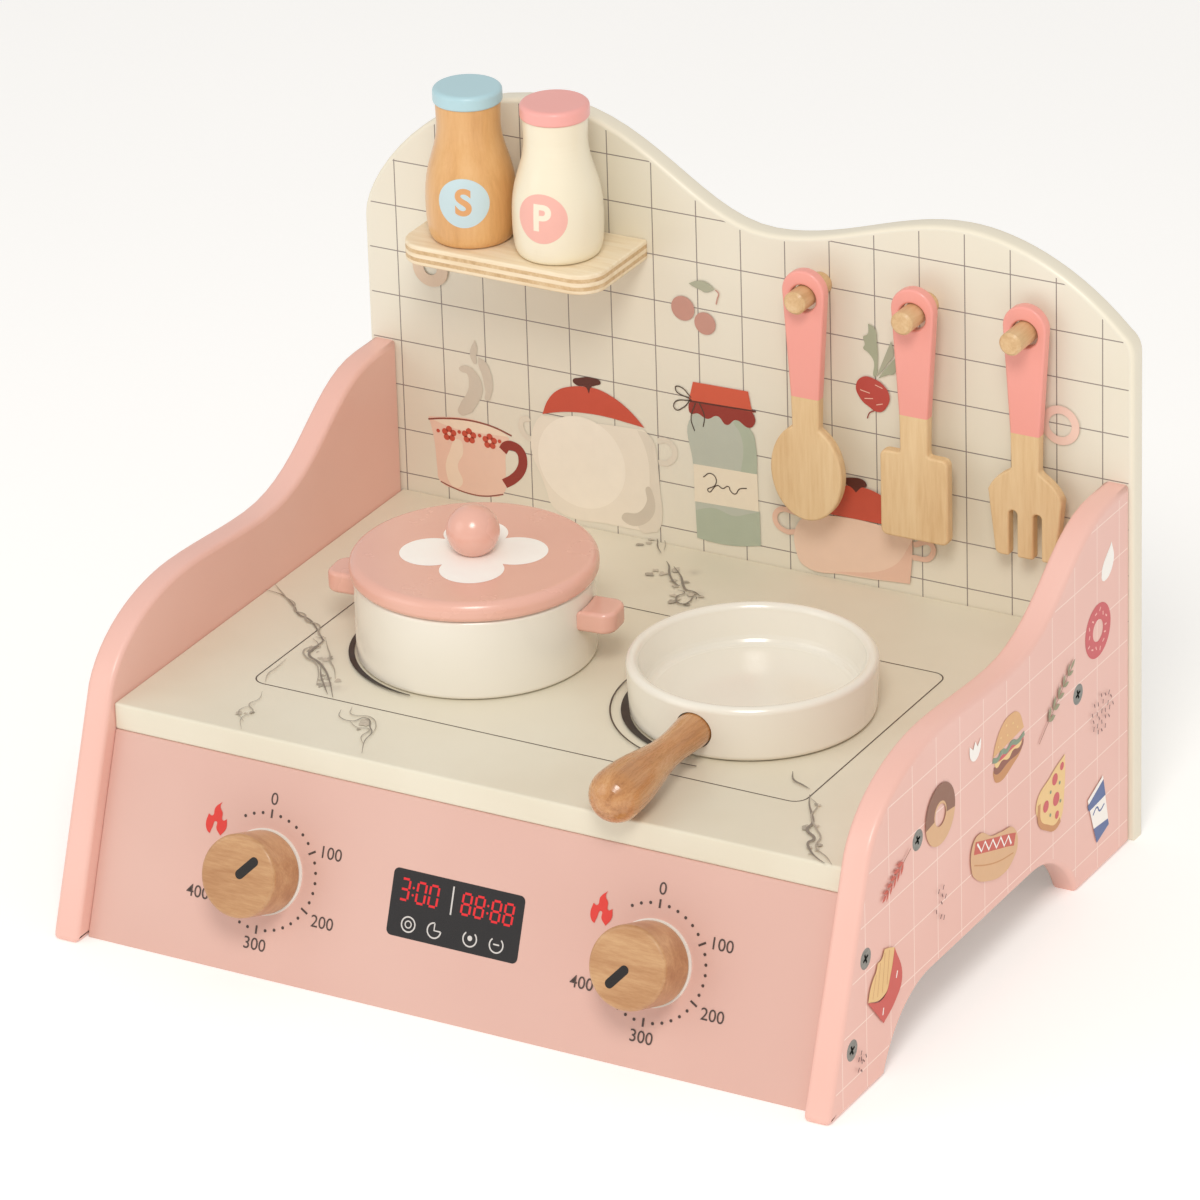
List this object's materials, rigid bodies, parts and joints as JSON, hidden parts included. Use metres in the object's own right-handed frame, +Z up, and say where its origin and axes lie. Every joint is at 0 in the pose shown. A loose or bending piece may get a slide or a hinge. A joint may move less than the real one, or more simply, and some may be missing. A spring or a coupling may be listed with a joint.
{
  "type": "toy kitchen",
  "caption": "Painted wooden toy kitchen with a wavy tiled back board, slanted control panel with turning knobs, a shelf with shakers, hanging utensils, a lidded pot and a pan.",
  "frame": {"origin": "middle of the object's box on the ground it stands on", "axes": "+X to the user's right across the front, +Y to the back board, +Z up"},
  "size_m": [0.366, 0.2874, 0.3028],
  "materials": {
    "pink_paint": "satin painted board",
    "cream_print": "satin painted board with a printed tile pattern",
    "worktop_print": "satin painted board with printed veins",
    "bare_plywood": "sanded, bare",
    "utensil_wood": "sanded wood with a painted handle",
    "white_paint": "gloss painted wood",
    "salmon_paint": "gloss painted wood",
    "varnished_wood": "gloss varnished beech",
    "knob_wood": "satin varnished beech",
    "salt_wood": "satin stained wood",
    "blue_paint": "satin painted wood",
    "rose_paint": "satin painted wood",
    "white_washer": "matte",
    "zinc_steel": "zinc plated"
  },
  "bodies": {
    "cabinet": {"left_side_panel": "pink_paint", "right_side_panel": "pink_paint", "back_board": "cream_print", "worktop": "worktop_print", "front_panel": "pink_paint", "shelf": "bare_plywood", "spoon_peg": "bare_plywood", "spatula_peg": "bare_plywood", "fork_peg": "bare_plywood", "left_knob_washer": "white_washer", "right_knob_washer": "white_washer", "left_inner_washer": "zinc_steel", "right_inner_washer": "zinc_steel", "side_screws": "zinc_steel", "back_screws": "zinc_steel", "shelf_screws": "zinc_steel"},
    "left_knob": {"left_knob": "knob_wood", "left_knob_screw": "zinc_steel"},
    "right_knob": {"right_knob": "knob_wood", "right_knob_screw": "zinc_steel"},
    "spoon": {"spoon": "utensil_wood"},
    "spatula": {"spatula": "utensil_wood"},
    "fork": {"fork": "utensil_wood"},
    "pot": {"pot_body": "white_paint", "pot_left_handle": "salmon_paint", "pot_right_handle": "salmon_paint", "pot_dowels": "bare_plywood"},
    "lid": {"pot_lid": "salmon_paint", "lid_ball": "salmon_paint"},
    "pan": {"pan_body": "white_paint", "pan_handle": "varnished_wood"},
    "salt": {"salt_shaker": "salt_wood", "salt_cap": "blue_paint"},
    "pepper": {"pepper_shaker": "white_paint", "pepper_cap": "rose_paint"}
  },
  "joints": [
    {"name": "left_knob_turn", "type": "hinge", "parent": "cabinet", "child": "left_knob", "pos_m": [-0.0905, -0.1177, 0.04147], "axis": [0, -0.9397, 0.342], "continuous": true},
    {"name": "right_knob_turn", "type": "hinge", "parent": "cabinet", "child": "right_knob", "pos_m": [0.0905, -0.1177, 0.04147], "axis": [0, -0.9397, 0.342], "continuous": true},
    {"name": "spoon_off_peg", "type": "slide", "parent": "cabinet", "child": "spoon", "axis": [0, -1, 0], "range_m": [0, 0.035]},
    {"name": "spatula_off_peg", "type": "slide", "parent": "cabinet", "child": "spatula", "axis": [0, -1, 0], "range_m": [0, 0.035]},
    {"name": "fork_off_peg", "type": "slide", "parent": "cabinet", "child": "fork", "axis": [0, -1, 0], "range_m": [0, 0.035]},
    {"name": "pot_lift", "type": "slide", "parent": "cabinet", "child": "pot", "axis": [0, 0, 1], "range_m": [0, 0.12]},
    {"name": "lid_lift", "type": "slide", "parent": "pot", "child": "lid", "axis": [0, 0, 1], "range_m": [0, 0.06]},
    {"name": "pan_lift", "type": "slide", "parent": "cabinet", "child": "pan", "axis": [0, 0, 1], "range_m": [0, 0.12]},
    {"name": "salt_lift", "type": "slide", "parent": "cabinet", "child": "salt", "axis": [0, 0, 1], "range_m": [0, 0.06]},
    {"name": "pepper_lift", "type": "slide", "parent": "cabinet", "child": "pepper", "axis": [0, 0, 1], "range_m": [0, 0.06]}
  ]
}
